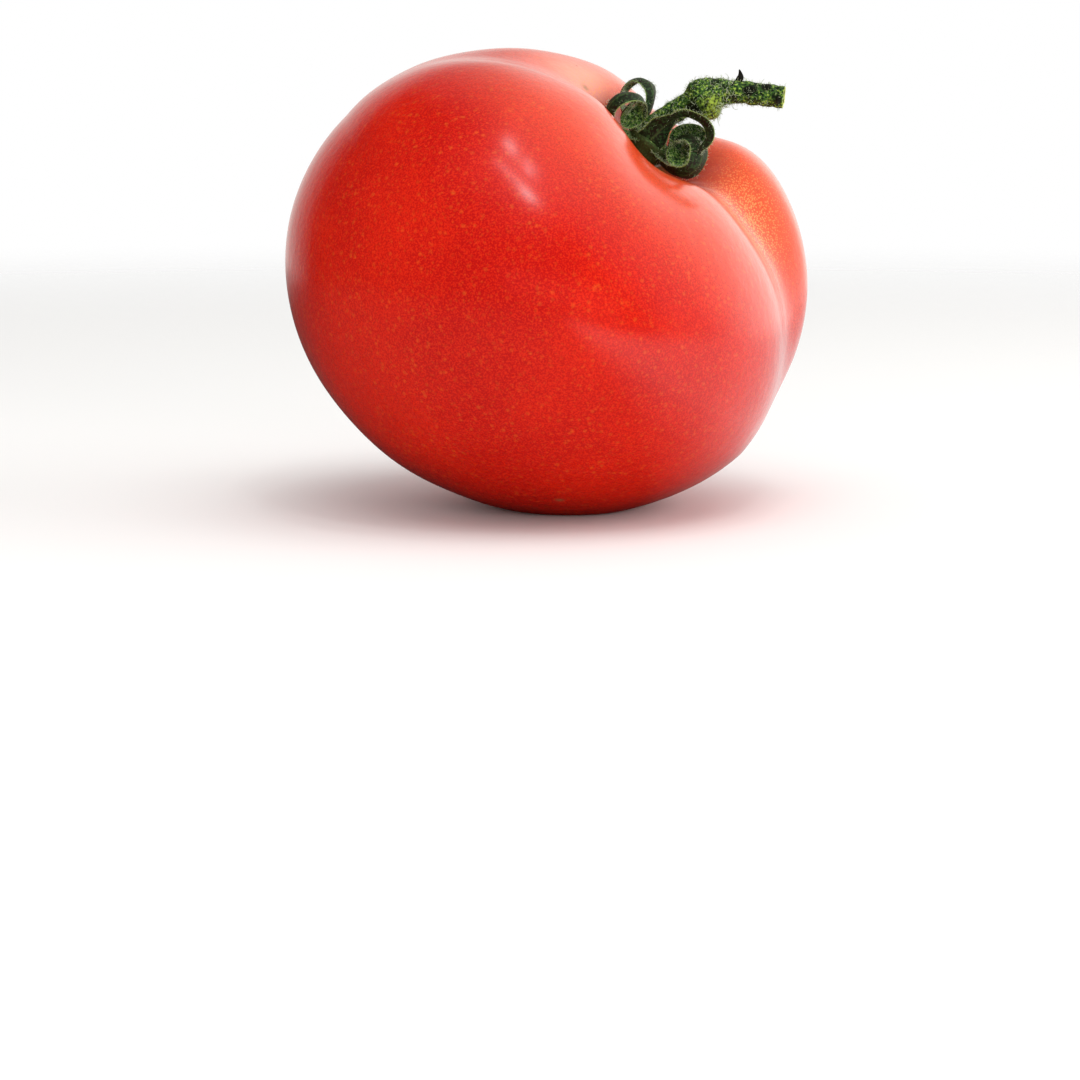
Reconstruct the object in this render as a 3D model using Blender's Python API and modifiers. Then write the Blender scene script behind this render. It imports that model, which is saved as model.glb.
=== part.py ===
"""A ripe beefsteak tomato with its curled calyx and a stub of its stalk.

Metres, +Z up. Every piece is worked out in the fruit's own axes, where +Z runs up the core to the stem end
and the equator lies at z = 0. An empty then tips those axes to the way the fruit lies: stem end up, to the
right and a little to the front, on a small flat spot. The origin is on that spot, straight below the middle
of the fruit. +X is to the right and -Y to the front.
"""

import math

import bmesh
import bpy
import numpy as np
from mathutils import Euler, Matrix, Vector

MM = 0.001

# The fruit: its main sizes
EQUATOR_RADIUS = 46.75 * MM
CROWN_HEIGHT = 39.2 * MM  # of the top over the equator, before the cavity is sunk into it
CROWN_TIP = 0.125  # share by which the crown is higher at the back than in the middle
CROWN_TIP_AZIMUTH = math.radians(84)
BASE_DEPTH = 42.5 * MM  # of the blossom end under the equator
BASE_SHEAR = 0.112  # how far the blossom end sits to the left for each length that it lies lower
FRUIT_SEGMENTS = 72
FRUIT_RINGS = 36

# The stem cavity and the forms round it
DISH_DEPTH = 7.2 * MM  # the wide hollow of the crown
DISH_RADIUS = 20.7 * MM
PIT_DEPTH = 5.4 * MM  # the narrow hollow under the calyx
PIT_RADIUS = 12.0 * MM
PIT_X = -2.0 * MM
SHOULDER_RADIUS = 20.0 * MM
RIB_COUNT = 4
RIB_HEIGHT = 0.8 * MM
VALLEY_DEPTH_RIGHT = 2.9 * MM
VALLEY_DEPTH_LEFT = 2.2 * MM
VALLEY_HALF_WIDTH = 8.0 * MM
VALLEY_REACH = 28.0 * MM
LOBE_HEIGHT = 6.8 * MM  # how far the back right shoulder stands over the others
LOBE_X = 29.0 * MM
LOBE_Y = 8.8 * MM
LOBE_HALF_LENGTH = 25.5 * MM
LOBE_HALF_WIDTH_FRONT = 9.8 * MM  # steep towards the valley
LOBE_HALF_WIDTH_BACK = 19.0 * MM
RELIEF_FADE = 0.35  # share of the crown's height over which the relief comes in above the equator
SCAR_DEPTH = 0.9 * MM  # the dent at the blossom end
SCAR_RADIUS = 3.5 * MM

# How it lies
LEAN_RIGHT = math.radians(40)
LEAN_FRONT = math.radians(7)
CENTRE_HEIGHT = 40.9 * MM  # of the middle of the fruit over the surface

# The calyx
TOUCH_GAP = 0.3 * MM
CUP_FOOT_RADIUS = 2.6 * MM
CUP_RIM_RADIUS = 4.4 * MM
CUP_HEIGHT = 3.9 * MM
CUP_SEGMENTS = 28
SEPAL_THICKNESS = 0.7 * MM
SEPAL_GUTTER = 0.35 * MM  # how far a sepal's edges rise over its midrib
SEPAL_ROOT = 2.0 * MM  # how far from the cup's axis a sepal's root starts
SEPAL_ROOT_DROP = 1.1 * MM  # and how far under the cup's top
SEPAL_TIP_HALF_WIDTH = 0.25 * MM
SEPAL_SHOULDER = 2.5  # power of the length share: the higher, the longer a sepal stays wide
SEPAL_TAPER = 0.7  # power of what is left of the width: the higher, the finer the point
SEPAL_STEPS = 28
FIRST_SEPAL_AZIMUTH = math.radians(-150)

# Each sepal, anticlockwise from the front left: its length, its width and its twist by the tip, then its
# swing to the left and its climb, in degrees at shares of its length. Past a climb of 180 it has curled over.
SEPALS = (
    {
        "length": 34 * MM,
        "width": 3.4 * MM,
        "twist": 0,
        "swing": ((0, 0), (1, 16)),
        "climb": ((0, 0), (0.06, -24), (0.18, -4), (0.57, 180), (1, 410)),
    },
    {
        "length": 21 * MM,
        "width": 3.4 * MM,
        "twist": 45,
        "swing": ((0, 0), (0.14, 5), (0.38, 80), (1, 105)),
        "climb": ((0, 0), (0.16, 86), (0.35, 68), (0.54, 34), (0.72, -20), (0.86, -95), (1, -30)),
    },
    {
        "length": 35 * MM,
        "width": 4.4 * MM,
        "twist": 0,
        "swing": ((0, 0), (1, 16)),
        "climb": ((0, 0), (0.08, -18), (0.16, 0), (0.56, 180), (1, 410)),
    },
    {
        "length": 21 * MM,
        "width": 3.2 * MM,
        "twist": 0,
        "swing": ((0, 0), (1, 10)),
        "climb": ((0, 0), (0.12, 45), (0.32, 60), (1, 420)),
    },
    {
        "length": 28 * MM,
        "width": 3.2 * MM,
        "twist": 0,
        "swing": ((0, 0), (1, -10)),
        "climb": ((0, 0), (0.1, 25), (0.3, 50), (1, 380)),
    },
    {
        "length": 26 * MM,
        "width": 3.2 * MM,
        "twist": 0,
        "swing": ((0, 0), (0.3, -30), (1, -40)),
        "climb": ((0, 0), (0.1, 8), (0.35, 28), (1, 400)),
    },
    {
        "length": 27 * MM,
        "width": 3.2 * MM,
        "twist": 0,
        "swing": ((0, 0), (1, -10)),
        "climb": ((0, 0), (0.1, 12), (0.27, 20), (0.63, 195), (1, 385)),
    },
)

# The stalk: its route, in the fruit's own axes with its height over the calyx cup's top, and its thickness
STALK_ROUTE = (
    (-3.0 * MM, 0.0, 0.0),
    (-3.0 * MM, 0.0, 2.8 * MM),
    (-2.4 * MM, -0.3 * MM, 6.4 * MM),
    (-0.7 * MM, -0.7 * MM, 10.6 * MM),
    (1.3 * MM, -1.0 * MM, 14.2 * MM),
    (4.7 * MM, -1.5 * MM, 16.9 * MM),
    (10.4 * MM, -2.2 * MM, 20.8 * MM),
)
STALK_RADIUS = 1.95 * MM
KNUCKLE_SWELL = 1.45 * MM
KNUCKLE_PLACE = 0.52  # share of the length
KNUCKLE_RISE = 0.055  # share of the length over which the knuckle swells, and over which it fades
KNUCKLE_FADE = 0.13
FOOT_SWELL = 0.6 * MM
FOOT_SHARE = 0.2
STALK_STEPS = 36
STALK_ROUNDNESS = 4  # steps in a quarter of its section, besides the corners
WELD = 0.01 * MM
BRACT_PLACE = 0.78
BRACT_RADIUS = 0.65 * MM
BRACT_TIP_RADIUS = 0.2 * MM
BRACT_LENGTH = 1.9 * MM
BRACT_SINK = 1.0 * MM
BRACT_LEAN = 0.25
BRACT_SEGMENTS = 8

# Finishes: colour and roughness
SKIN = ((0.62, 0.025, 0.012, 1.0), 0.35)
SEPAL_GREEN = ((0.030, 0.075, 0.020, 1.0), 0.7)
STALK_GREEN = ((0.085, 0.170, 0.035, 1.0), 0.75)


def smooth_step(value, low, high):
    """0 below low, 1 above high, and an even S between them."""
    share = np.clip((value - low) / (high - low), 0.0, 1.0)
    return share * share * (3.0 - 2.0 * share)


def ring_swell(distance, reach):
    """0 at the core, 1 at the reach, and falling off beyond it."""
    share = (distance / reach) ** 2
    return share * np.exp(1.0 - share)


def crown_relief(x, y):
    """How far the cavity, ribs, valley and back shoulder move the top of the fruit up or down."""
    around = np.hypot(x, y)
    azimuth = np.arctan2(y, x)
    dish = -DISH_DEPTH * np.exp(-((around / DISH_RADIUS) ** 2))
    pit = -PIT_DEPTH * np.exp(-((np.hypot(x - PIT_X, y) / PIT_RADIUS) ** 4))
    ribs = -RIB_HEIGHT * np.cos(RIB_COUNT * azimuth) * ring_swell(around, SHOULDER_RADIUS)
    valley_depth = np.where(x > 0, VALLEY_DEPTH_RIGHT, VALLEY_DEPTH_LEFT)
    valley = -valley_depth * ring_swell(x, VALLEY_REACH) * np.exp(-((y / VALLEY_HALF_WIDTH) ** 2))
    lobe_half_width = np.where(y < LOBE_Y, LOBE_HALF_WIDTH_FRONT, LOBE_HALF_WIDTH_BACK)
    lobe = LOBE_HEIGHT * np.exp(
        -(((x - LOBE_X) / LOBE_HALF_LENGTH) ** 4) - ((y - LOBE_Y) / lobe_half_width) ** 2
    )
    return dish + pit + ribs + valley + lobe


def fruit_surface(unit):
    """Points of the fruit's skin for points of a unit sphere: two half ellipsoids that meet at the equator.

    The upper one is higher at the back and carries the relief. The lower one is sheared to the left.
    """
    up = unit[:, 2]
    across = np.hypot(unit[:, 0], unit[:, 1])
    azimuth = np.arctan2(unit[:, 1], unit[:, 0])
    crown = CROWN_HEIGHT * (1.0 + CROWN_TIP * across * np.cos(azimuth - CROWN_TIP_AZIMUTH))
    x = EQUATOR_RADIUS * unit[:, 0]
    y = EQUATOR_RADIUS * unit[:, 1]
    z = np.where(up > 0, crown, BASE_DEPTH) * up
    z += crown_relief(x, y) * smooth_step(up, 0.0, RELIEF_FADE)
    z += SCAR_DEPTH * np.exp(-((np.hypot(x, y) / SCAR_RADIUS) ** 2)) * (up < 0)
    x = x + BASE_SHEAR * np.minimum(z, 0.0)
    return np.stack([x, y, z], axis=1)


def fruit_axes():
    """The matrix that tips the fruit's own axes to the way it lies."""
    lean = Euler((LEAN_FRONT, LEAN_RIGHT, 0.0), "XYZ").to_matrix().to_4x4()
    return Matrix.Translation((0.0, 0.0, CENTRE_HEIGHT)) @ lean


def plain_material(name, finish):
    colour, roughness = finish
    material = bpy.data.materials.new(name)
    material.use_nodes = True
    shader = material.node_tree.nodes["Principled BSDF"]
    shader.inputs["Base Color"].default_value = colour
    shader.inputs["Roughness"].default_value = roughness
    shader.inputs["Metallic"].default_value = 0.0
    material.diffuse_color = colour
    return material


def add_object(name, mesh, material, collection, parent):
    mesh.materials.clear()
    mesh.materials.append(material)
    mesh.shade_smooth()
    made = bpy.data.objects.new(name, mesh)
    collection.objects.link(made)
    made.parent = parent
    return made


def fruit_mesh():
    """A sphere shaped to the fruit's skin, with the flat spot cut level."""
    bm = bmesh.new()
    bmesh.ops.create_uvsphere(bm, u_segments=FRUIT_SEGMENTS, v_segments=FRUIT_RINGS, radius=1.0)
    points = fruit_surface(np.array([vert.co for vert in bm.verts]))
    for vert, point in zip(bm.verts, points):
        vert.co = point
    to_fruit = fruit_axes().inverted()
    ground = to_fruit @ Vector((0.0, 0.0, 0.0))
    level = to_fruit.to_3x3() @ Vector((0.0, 0.0, 1.0))
    everything = bm.verts[:] + bm.edges[:] + bm.faces[:]
    cut = bmesh.ops.bisect_plane(bm, geom=everything, plane_co=ground, plane_no=level, clear_inner=True)
    rim = [part for part in cut["geom_cut"] if isinstance(part, bmesh.types.BMEdge)]
    bmesh.ops.contextual_create(bm, geom=rim)
    bmesh.ops.recalc_face_normals(bm, faces=bm.faces[:])
    mesh = bpy.data.meshes.new("fruit")
    bm.to_mesh(mesh)
    bm.free()
    return mesh


def cavity_floor():
    """Height of the cavity's floor under the calyx, in the fruit's own axes."""
    return CROWN_HEIGHT + float(crown_relief(np.array([PIT_X]), np.array([0.0]))[0])


def cup_top():
    """Height of the calyx cup's top, where the stalk starts."""
    return cavity_floor() + 2 * TOUCH_GAP + CUP_HEIGHT


def keyed_angle(keys, share):
    """Radians at each share of a length, straight between the keys."""
    places, degrees = zip(*keys)
    return np.radians(np.interp(share, places, degrees))


def sepal_path(sepal, azimuth):
    """Points along a sepal's midrib, with the directions across it and out of its upper face at each."""
    share = np.linspace(0.0, 1.0, SEPAL_STEPS + 1)
    climb = keyed_angle(sepal["climb"], share)
    heading = azimuth + keyed_angle(sepal["swing"], share)
    forward = np.stack(
        [np.cos(climb) * np.cos(heading), np.cos(climb) * np.sin(heading), np.sin(climb)], axis=1
    )
    side = np.stack([-np.sin(heading), np.cos(heading), np.zeros_like(heading)], axis=1)
    upper = np.cross(forward, side)
    twist = np.radians(sepal["twist"]) * share[:, None]
    side, upper = side * np.cos(twist) + upper * np.sin(twist), upper * np.cos(twist) - side * np.sin(twist)
    step = sepal["length"] / SEPAL_STEPS
    moved = np.cumsum((forward[1:] + forward[:-1]) * step / 2, axis=0)
    root = np.array(
        [
            PIT_X + SEPAL_ROOT * math.cos(azimuth),
            SEPAL_ROOT * math.sin(azimuth),
            cup_top() - SEPAL_ROOT_DROP,
        ]
    )
    return root + np.vstack([np.zeros(3), moved]), side, upper


def sepal_object(name, sepal, azimuth, collection):
    """A ribbon that narrows to its tip, a shallow gutter across, along the sepal's path."""
    path, side, upper = sepal_path(sepal, azimuth)
    bm = bmesh.new()
    bmesh.ops.create_grid(bm, x_segments=SEPAL_STEPS, y_segments=2, size=1.0)
    for vert in bm.verts:
        row = round((vert.co.x + 1.0) / 2.0 * SEPAL_STEPS)
        share = row / SEPAL_STEPS
        outline = (1.0 - share**SEPAL_SHOULDER) ** SEPAL_TAPER
        half_width = sepal["width"] / 2 * outline + SEPAL_TIP_HALF_WIDTH
        across = vert.co.y
        vert.co = path[row] + side[row] * across * half_width + upper[row] * SEPAL_GUTTER * across**2
    mesh = bpy.data.meshes.new(name)
    bm.to_mesh(mesh)
    bm.free()
    made = bpy.data.objects.new(name, mesh)
    collection.objects.link(made)
    wall = made.modifiers.new("thickness", "SOLIDIFY")
    wall.thickness = SEPAL_THICKNESS
    wall.offset = 0.0
    return made


def cup_mesh():
    """The small cup that the sepals grow from, wider at its rim than at its foot."""
    bm = bmesh.new()
    bmesh.ops.create_cone(
        bm,
        cap_ends=True,
        segments=CUP_SEGMENTS,
        radius1=CUP_FOOT_RADIUS,
        radius2=CUP_RIM_RADIUS,
        depth=CUP_HEIGHT,
        matrix=Matrix.Translation((PIT_X, 0.0, cup_top() - CUP_HEIGHT / 2)),
    )
    mesh = bpy.data.meshes.new("calyx")
    bm.to_mesh(mesh)
    bm.free()
    return mesh


def evaluated_mesh(made, name):
    """The object's mesh with its modifiers applied."""
    graph = bpy.context.evaluated_depsgraph_get()
    graph.update()
    mesh = bpy.data.meshes.new_from_object(made.evaluated_get(graph), depsgraph=graph)
    mesh.name = name
    return mesh


def joined(base, pieces, collection):
    """One body of the base and the pieces, by one union on their collection."""
    union = base.modifiers.new("join", "BOOLEAN")
    union.operation = "UNION"
    union.operand_type = "COLLECTION"
    union.collection = collection
    union.solver = "EXACT"
    bpy.context.view_layer.update()
    mesh = evaluated_mesh(base, base.name)
    base.modifiers.clear()
    for piece in pieces:
        bpy.data.objects.remove(piece)
    bpy.data.collections.remove(collection)
    return mesh


def helper_collection(name):
    collection = bpy.data.collections.new(name)
    bpy.context.scene.collection.children.link(collection)
    return collection


def build_calyx(material, collection, parent):
    helpers = helper_collection("sepals")
    cup = bpy.data.objects.new("calyx", cup_mesh())
    bpy.context.scene.collection.objects.link(cup)
    pieces = []
    for index, sepal in enumerate(SEPALS):
        azimuth = FIRST_SEPAL_AZIMUTH + index * math.tau / len(SEPALS)
        pieces.append(sepal_object(f"sepal_{index}", sepal, azimuth, helpers))
    mesh = joined(cup, pieces, helpers)
    bpy.data.objects.remove(cup)
    return add_object("calyx", mesh, material, collection, parent)


def stalk_points():
    """Evenly shared points on a smooth curve through the stalk's route."""
    route = np.array(STALK_ROUTE) + np.array([0.0, 0.0, cup_top() + TOUCH_GAP])
    padded = np.vstack([2 * route[0] - route[1], route, 2 * route[-1] - route[-2]])
    spans = len(route) - 1
    found = []
    for place in np.linspace(0.0, spans, STALK_STEPS + 1):
        span = min(int(place), spans - 1)
        t = place - span
        a, b, c, d = padded[span : span + 4]
        found.append(
            0.5 * (2 * b + (c - a) * t + (2 * a - 5 * b + 4 * c - d) * t**2 + (3 * b - a - 3 * c + d) * t**3)
        )
    return np.array(found)


def stalk_radius(share):
    """The stalk's radius along its length: a foot that flares, a swollen knuckle, and an even shaft."""
    foot = FOOT_SWELL * np.exp(-((share / FOOT_SHARE) ** 2))
    reach = np.where(share < KNUCKLE_PLACE, KNUCKLE_RISE, KNUCKLE_FADE)
    knuckle = KNUCKLE_SWELL * np.exp(-(((share - KNUCKLE_PLACE) / reach) ** 2))
    return STALK_RADIUS + foot + knuckle


def stalk_tube():
    """The stalk as a bevelled curve made a mesh, with its caps welded on."""
    points = stalk_points()
    shares = np.linspace(0.0, 1.0, STALK_STEPS + 1)
    curve = bpy.data.curves.new("stalk_line", "CURVE")
    curve.dimensions = "3D"
    curve.bevel_depth = 1.0
    curve.bevel_resolution = STALK_ROUNDNESS
    curve.use_fill_caps = True
    spline = curve.splines.new("POLY")
    spline.points.add(STALK_STEPS)
    for node, point, radius in zip(spline.points, points, stalk_radius(shares)):
        node.co = (*point, 1.0)
        node.radius = radius
    line = bpy.data.objects.new("stalk_line", curve)
    bpy.context.scene.collection.objects.link(line)
    mesh = evaluated_mesh(line, "pedicel")
    bpy.data.objects.remove(line)
    bm = bmesh.new()
    bm.from_mesh(mesh)
    bmesh.ops.remove_doubles(bm, verts=bm.verts[:], dist=WELD)
    bmesh.ops.recalc_face_normals(bm, faces=bm.faces[:])
    bm.to_mesh(mesh)
    bm.free()
    return mesh


def bract_object(collection):
    """The dried bract: a small spike that leans off the upper side of the stalk."""
    points = stalk_points()
    row = round(BRACT_PLACE * STALK_STEPS)
    along = Vector(points[row + 1] - points[row - 1]).normalized()
    outward = Vector((0.0, -1.0, 0.0)).cross(along).normalized()
    if outward.x > 0:
        outward = -outward
    pointing = (outward + BRACT_LEAN * along).normalized()
    foot = Vector(points[row]) + outward * (STALK_RADIUS - BRACT_SINK)
    height = BRACT_LENGTH + BRACT_SINK
    turned = pointing.to_track_quat("Z", "Y").to_matrix().to_4x4()
    bm = bmesh.new()
    bmesh.ops.create_cone(
        bm,
        cap_ends=True,
        segments=BRACT_SEGMENTS,
        radius1=BRACT_RADIUS,
        radius2=BRACT_TIP_RADIUS,
        depth=height,
        matrix=Matrix.Translation(foot + pointing * height / 2) @ turned,
    )
    mesh = bpy.data.meshes.new("bract")
    bm.to_mesh(mesh)
    bm.free()
    made = bpy.data.objects.new("bract", mesh)
    collection.objects.link(made)
    return made


def build_pedicel(material, collection, parent):
    helpers = helper_collection("bracts")
    shaft = bpy.data.objects.new("pedicel_shaft", stalk_tube())
    bpy.context.scene.collection.objects.link(shaft)
    mesh = joined(shaft, [bract_object(helpers)], helpers)
    bpy.data.objects.remove(shaft)
    return add_object("pedicel", mesh, material, collection, parent)


def main():
    for old in list(bpy.data.objects):
        bpy.data.objects.remove(old, do_unlink=True)
    tomato = helper_collection("tomato")
    core = bpy.data.objects.new("core", None)
    core.matrix_world = fruit_axes()
    tomato.objects.link(core)
    add_object("fruit", fruit_mesh(), plain_material("tomato_skin", SKIN), tomato, core)
    build_calyx(plain_material("sepal_green", SEPAL_GREEN), tomato, core)
    build_pedicel(plain_material("stalk_green", STALK_GREEN), tomato, core)


main()
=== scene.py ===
"""The finished look of a ripe beefsteak tomato with its curled calyx and a stub of its stalk.

It is laid out as an add-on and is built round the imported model. Metres, +Z up. Shapes are worked out in
the fruit's own axes, where +Z runs up the core to the stem end and the equator lies at z = 0. They are then
leaned over to the way the fruit lies: stem end up, to the right and a little to the front.
"""

import math

import bpy
import numpy as np
from bpy.props import FloatProperty, FloatVectorProperty, IntProperty, PointerProperty
from mathutils import Euler, Matrix, Vector


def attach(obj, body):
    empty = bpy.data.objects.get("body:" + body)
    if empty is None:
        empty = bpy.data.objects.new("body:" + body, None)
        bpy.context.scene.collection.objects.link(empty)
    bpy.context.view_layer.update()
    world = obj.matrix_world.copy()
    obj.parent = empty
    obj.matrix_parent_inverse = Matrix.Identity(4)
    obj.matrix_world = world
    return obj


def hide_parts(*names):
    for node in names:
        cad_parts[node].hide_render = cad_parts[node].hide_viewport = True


bl_info = {
    "name": "Beefsteak Tomato",
    "version": (1, 0, 0),
    "blender": (4, 5, 0),
    "location": "View3D > Sidebar > Tomato",
    "description": "Makes the skin, calyx, stalk and hairs of a ripe tomato round its packed model",
    "category": "Add Mesh",
}

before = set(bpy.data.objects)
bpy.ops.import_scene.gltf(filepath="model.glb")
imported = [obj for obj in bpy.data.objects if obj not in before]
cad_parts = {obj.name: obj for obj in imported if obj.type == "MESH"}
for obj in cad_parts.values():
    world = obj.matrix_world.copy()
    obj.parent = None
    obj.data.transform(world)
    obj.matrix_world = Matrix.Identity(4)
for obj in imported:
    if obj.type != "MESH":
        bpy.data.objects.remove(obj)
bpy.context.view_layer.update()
BODY = "root"

MM = 0.001

# The fruit's form, as in its solids
EQUATOR_RADIUS = 46.75 * MM
CROWN_HEIGHT = 39.2 * MM
CROWN_TIP = 0.125
CROWN_TIP_AZIMUTH = math.radians(84)
BASE_DEPTH = 42.5 * MM
BASE_SHEAR = 0.112
DISH_DEPTH = 7.2 * MM
DISH_RADIUS = 20.7 * MM
PIT_DEPTH = 5.4 * MM
PIT_RADIUS = 12.0 * MM
PIT_X = -2.0 * MM
SHOULDER_RADIUS = 20.0 * MM
RIB_COUNT = 4
RIB_HEIGHT = 0.8 * MM
VALLEY_DEPTH_RIGHT = 2.9 * MM
VALLEY_DEPTH_LEFT = 2.2 * MM
VALLEY_HALF_WIDTH = 8.0 * MM
VALLEY_REACH = 28.0 * MM
LOBE_HEIGHT = 6.8 * MM
LOBE_X = 29.0 * MM
LOBE_Y = 8.8 * MM
LOBE_HALF_LENGTH = 25.5 * MM
LOBE_HALF_WIDTH_FRONT = 9.8 * MM
LOBE_HALF_WIDTH_BACK = 19.0 * MM
RELIEF_FADE = 0.35
SCAR_DEPTH = 0.9 * MM
SCAR_RADIUS = 3.5 * MM
LEAN_RIGHT = math.radians(40)
LEAN_FRONT = math.radians(7)
CENTRE_HEIGHT = 40.9 * MM

# Fine relief of the skin, which the solids leave out
LUMP_LENGTH = 19.0 * MM
LUMP_HEIGHT = 0.10 * MM
PLEAT_COUNT = 26
PLEAT_HEIGHT = 0.05 * MM
PLEAT_RADIUS = 9.5 * MM
PLEAT_WIDTH = 4.0 * MM
GROUND_SOFTNESS = 0.15 * MM  # how softly the skin rounds off into the flat spot

# Where the skin's colours lie, in its own axes
TOP_FADE = (0.2, 0.5)
CORK_RADIUS = 6.2 * MM
# Painted shade: a deeper red ring round the calyx cup, where the calyx shades the cavity
CAVITY_SHADE_RADIUS = 9 * MM
CAVITY_SHADE_WIDTH = 5 * MM
SPECKED_RADIUS = 17 * MM
SPECKED_WIDTH = 8 * MM
SPECKED_SHARE = 0.55
GOLDEN_RADIUS = 14 * MM
GOLDEN_WIDTH = 13 * MM
GOLDEN_SHARE = 0.3
# Patches of colour: how strong each is, its middle and reach along x, and the same along y, in millimetres
GOLDEN_PATCHES = ((0.95, 21, 11, -2.5, 8.5), (0.55, -15, 6, 4, 4))
# The pale patch beyond the left valley is partly pale tan skin and partly a painted reflection of the room
PALE_TAN_AND_SHEEN_PATCH = (0.6, -19, 9, 6, 6)

# The calyx
TOUCH_GAP = 0.3 * MM
CUP_HEIGHT = 3.9 * MM
# The cup's side: the heights over its rim, and the radii there, in millimetres
CUP_HEIGHTS = (-3.9, -2.73, -1.56, -0.59, 0, 0.35, 0.7, 1.1)
CUP_RADII = (2.6, 3.1, 3.7, 4.3, 4.4, 4.1, 3.4, 2.9)
CUP_ROWS = 60
CUP_COLUMNS = 96
CUP_LOBE_SHARE = 0.035  # of the cup's radius, by which it bulges at each sepal
CUP_FLUTES = 31
CUP_FLUTE_SHARE = 0.02
SEPAL_ROOT = 2.0 * MM
SEPAL_ROOT_DROP = 1.1 * MM
SEPAL_TIP_HALF_WIDTH = 0.22 * MM
SEPAL_TAPER = 0.7
SEPAL_GUTTER = 0.35 * MM
SEPAL_ROWS = 110
SEPAL_COLUMNS = 24
MIDRIB_HEIGHT = 0.22 * MM
MIDRIB_HALF_WIDTH = 0.13
MARGIN_WAVE = 0.16 * MM
MARGIN_WAVE_TURN = 26  # radians of the wave along a sepal
SWAY_SHARE = 0.05  # of a sepal's width, by which its edges sway from side to side
SWAY_TURN = 31
EDGE_THINNING = 0.55
FIRST_SEPAL_AZIMUTH = math.radians(-150)

# Corky scars of the skin: the middle of each in the fruit's own axes, and its reach, in millimetres
SCARS = (
    (-4.7, 0.0, -39.0, 1.3),
    (24.8, -28.0, -23.1, 0.8),
    (17.5, -33.5, -25.5, 0.7),
    (-15.8, -2.5, 30.6, 0.9),
    (-16.6, 0.6, 30.6, 0.8),
    (-17.2, 3.4, 30.6, 0.8),
    (-19.5, 6.0, 30.3, 0.7),
    (-14.0, 7.0, 30.5, 0.7),
)

# Each sepal, anticlockwise from the front left: its length and width in millimetres and how blunt its tip
# is, then its twist, its swing to the left and its climb, as pairs of a share of its length and degrees.
# Past a climb of 180 it has curled over.
SEPALS = (
    dict(
        length=30.5, width=3.5, blunt=7.0,
        twist=((0, 0), (0.33, 0), (0.48, -8), (0.64, 0), (0.84, -52), (1, -66)),
        swing=((0, 0), (1, 16)),
        climb=((0, 0), (0.065, -24), (0.205, 2), (0.588, 186), (0.79, 330), (0.885, 450), (1, 455)),
    ),
    dict(
        length=20.5, width=5.0, blunt=1.2,
        twist=((0, 0), (0.35, 8), (0.5, -6), (0.7, -40), (1, -60)),
        swing=((0, 0), (0.16, 5), (0.42, 72), (1, 102)),
        climb=(
            (0, 0), (0.11, 74), (0.19, 94), (0.36, 74), (0.56, 28),
            (0.76, -20), (0.86, -85), (0.93, -100), (1, -40),
        ),
    ),
    dict(
        length=28.3, width=4.8, blunt=8.0,
        twist=((0, 0), (0.2, -10), (0.32, -17), (0.66, -17), (0.84, 60), (1, 85)),
        swing=((0, 0), (0.15, 23), (1, 28)),
        climb=((0, 0), (0.09, -8), (0.185, 6), (0.575, 188), (0.8, 355), (0.87, 450), (1, 460)),
    ),
    dict(
        length=20, width=4.4, blunt=3.0,
        twist=((0, 0), (0.3, 40), (1, 60)),
        swing=((0, 0), (1, 10)),
        climb=((0, 0), (0.12, 45), (0.32, 60), (1, 400)),
    ),
    dict(
        length=22, width=3.4, blunt=2.5,
        twist=((0, 0), (0.4, 0), (1, 40)),
        swing=((0, 0), (1, -10)),
        climb=((0, 0), (0.1, 8), (0.3, 25), (1, 400)),
    ),
    dict(
        length=22, width=3.4, blunt=2.5,
        twist=((0, 0), (0.4, 0), (1, -40)),
        swing=((0, 0), (0.3, -30), (1, -40)),
        climb=((0, 0), (0.1, 0), (0.35, 20), (1, 400)),
    ),
    dict(
        length=28, width=4.0, blunt=2.5,
        twist=((0, 0), (0.2, 8), (0.35, 16), (0.6, 16), (1, -30)),
        swing=((0, 0), (0.15, -10), (1, -12)),
        climb=((0, 0), (0.1, 14), (0.29, 32), (0.55, 166), (0.68, 233), (0.86, 258), (1, 380)),
    ),
)

# The stalk: its route in millimetres, with its height over the calyx cup's top, and its thickness
STALK_ROUTE = (
    (-3.0, 0.0, 0.0),
    (-3.0, 0.0, 2.8),
    (-2.4, -0.3, 6.4),
    (-0.7, -0.7, 10.6),
    (1.3, -1.0, 14.2),
    (4.7, -1.5, 16.9),
    (10.4, -2.2, 20.8),
)
STALK_RADIUS = 1.95 * MM
KNUCKLE_SWELL = 1.45 * MM
KNUCKLE_PLACE = 0.52
KNUCKLE_RISE = 0.055
KNUCKLE_FADE = 0.13
FOOT_SWELL = 0.6 * MM
FOOT_SHARE = 0.2
STALK_ROWS = 220
STALK_COLUMNS = 48
STALK_RIBS = 5
STALK_RIB_HEIGHT = 0.05 * MM
# Lumps of the stalk: how high and how long they are, and the seed of their places
STALK_LUMPS = ((0.10 * MM, 2.6 * MM, 11), (0.04 * MM, 0.9 * MM, 12))
FLANK_SWELL = 1.25 * MM  # more on the side of the knuckle that faces down the slope
FLANK_PLACE = 0.6
FLANK_LENGTH = 0.09
FLANK_TURN = math.radians(-165)
SEAM_PLACE = 0.545  # of the ring where the stalk would part from the fruit
SEAM_SLANT = 0.03
SEAM_WIDTH = 0.008
SEAM_DEPTH = 0.16 * MM
# The cut end, from its edge inwards: a share of the stalk's radius, and how far it rises in millimetres
CUT_PROFILE = ((1.0, 0.0), (0.97, 0.14), (0.88, 0.18), (0.74, 0.02), (0.5, -0.22), (0.25, -0.2))
CUT_RAGGEDNESS = 0.06 * MM
PITH_DEPTH = 0.18 * MM
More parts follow.
